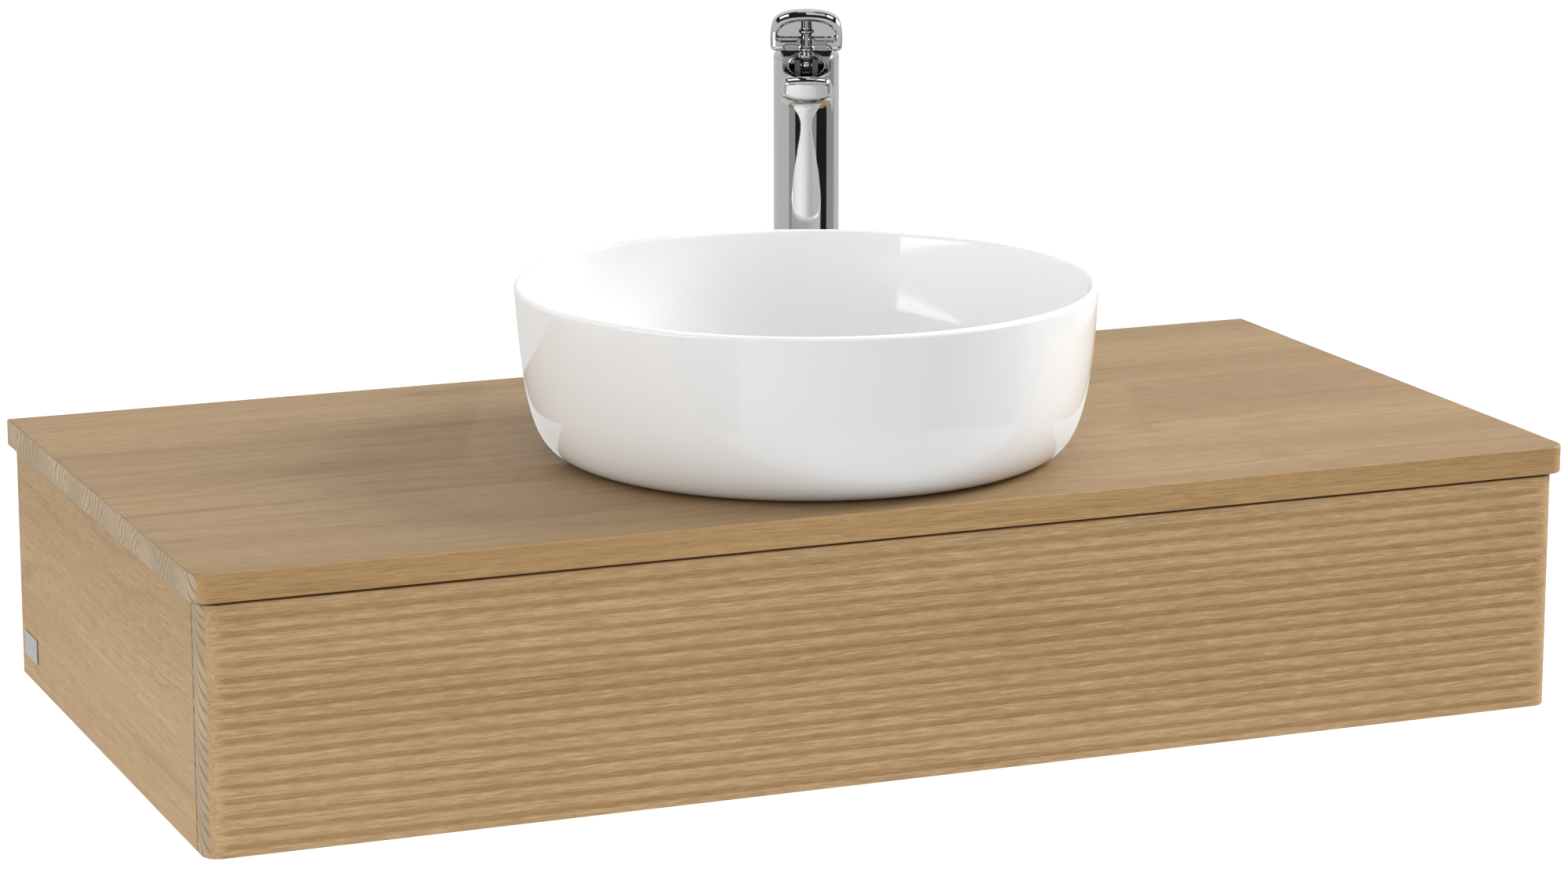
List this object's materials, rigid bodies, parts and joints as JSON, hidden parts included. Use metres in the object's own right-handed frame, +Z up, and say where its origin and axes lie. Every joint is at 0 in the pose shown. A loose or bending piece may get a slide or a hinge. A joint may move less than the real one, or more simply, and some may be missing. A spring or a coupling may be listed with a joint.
{
  "type": "vessel sink on vanity",
  "caption": "Wall-hung oak vanity with a ribbed push-to-open drawer, a round white vessel basin and a tall chrome single-lever mixer tap.",
  "frame": {"origin": "under the middle of the whole object, at the cabinet's lowest level", "axes": "+X to the right seen from the front, +Y towards the wall, +Z up; the drawer front faces -Y"},
  "size_m": [1, 0.5085, 0.4665],
  "materials": {
    "oak": "matt lacquered solid oak, natural",
    "carcass_board": "oak-finish board",
    "drawer_steel": "powder-coated, satin",
    "drawer_board": "grey coated board, satin",
    "zinc_plate": "zinc plated",
    "chrome": "polished",
    "brass": "machined",
    "glaze": "glossy white glaze",
    "rubber": "matt",
    "grey_plastic": "satin",
    "white_plastic": "smooth"
  },
  "bodies": {
    "cabinet": {"aerator": "chrome", "badge_plate": "zinc_plate", "basin": "glaze", "basin_seal": "rubber", "bottom_panel": "carcass_board", "cabinet_rail_left": "zinc_plate", "cabinet_rail_right": "zinc_plate", "cartridge_nut": "brass", "front_rail": "carcass_board", "hanger_left": "zinc_plate", "hanger_right": "zinc_plate", "inlet_cold": "brass", "inlet_hot": "brass", "inlet_pipe": "white_plastic", "outlet_pipe": "white_plastic", "push_latch_left": "grey_plastic", "push_latch_right": "grey_plastic", "rear_panel": "carcass_board", "side_panel_left": "oak", "side_panel_right": "oak", "slip_nut": "white_plastic", "tap_base_plug": "brass", "tap_base_ring": "rubber", "tap_body": "chrome", "tap_cartridge": "grey_plastic", "tap_nut": "brass", "tap_stud": "brass", "tap_washer": "zinc_plate", "trap_body": "white_plastic", "trap_cap": "white_plastic", "wall_rail": "zinc_plate", "wall_rosette": "white_plastic", "waste_flange": "chrome", "waste_nut": "brass", "waste_seal": "rubber", "worktop": "oak", "worktop_screw_left": "zinc_plate", "worktop_screw_right": "zinc_plate"},
    "drawer": {"drawer_front": "oak", "drawer_bottom": "drawer_board", "cutout_liner": "grey_plastic", "drawer_side_left": "drawer_steel", "drawer_side_right": "drawer_steel", "drawer_back_left": "drawer_board", "drawer_back_right": "drawer_board", "front_bracket_left": "zinc_plate", "front_bracket_right": "zinc_plate", "drawer_rail_left": "zinc_plate", "drawer_rail_right": "zinc_plate"},
    "middle_left": {"middle_rail_left": "zinc_plate"},
    "middle_right": {"middle_rail_right": "zinc_plate"},
    "plunger_left": {"push_plunger_left": "white_plastic"},
    "plunger_right": {"push_plunger_right": "white_plastic"},
    "plug": {"waste_plug": "glaze"},
    "lever_turn": {"lever_yoke": "grey_plastic", "lever_pin": "zinc_plate"},
    "lever": {"tap_handle": "chrome", "handle_stem": "chrome", "handle_screw": "zinc_plate"}
  },
  "joints": [
    {"name": "drawer_slide", "type": "slide", "parent": "cabinet", "child": "drawer", "axis": [0, -1, 0], "range_m": [0, 0.33]},
    {"name": "middle_left_slide", "type": "slide", "parent": "cabinet", "child": "middle_left", "axis": [0, -1, 0], "range_m": [0, 0.165]},
    {"name": "middle_right_slide", "type": "slide", "parent": "cabinet", "child": "middle_right", "axis": [0, -1, 0], "range_m": [0, 0.165]},
    {"name": "plunger_left_press", "type": "slide", "parent": "cabinet", "child": "plunger_left", "axis": [0, 1, 0], "range_m": [0, 0.0025], "stiffness_N_per_m": 500},
    {"name": "plunger_right_press", "type": "slide", "parent": "cabinet", "child": "plunger_right", "axis": [0, 1, 0], "range_m": [0, 0.0025], "stiffness_N_per_m": 500},
    {"name": "plug_press", "type": "slide", "parent": "cabinet", "child": "plug", "axis": [0, 0, -1], "range_m": [0, 0.006]},
    {"name": "lever_swivel", "type": "hinge", "parent": "cabinet", "child": "lever_turn", "pos_m": [0.09233, 0.1761, 0.4255], "axis": [0, 0, 1], "range_deg": [-45, 45]},
    {"name": "lever_lift", "type": "hinge", "parent": "lever_turn", "child": "lever", "pos_m": [0.09233, 0.1761, 0.4255], "axis": [-0.9256, 0.3785, 0], "range_deg": [0, 20]}
  ],
  "couplings": [
    {"joint": "middle_left_slide", "follows": "drawer_slide", "ratio": 0.5},
    {"joint": "middle_right_slide", "follows": "drawer_slide", "ratio": 0.5}
  ]
}
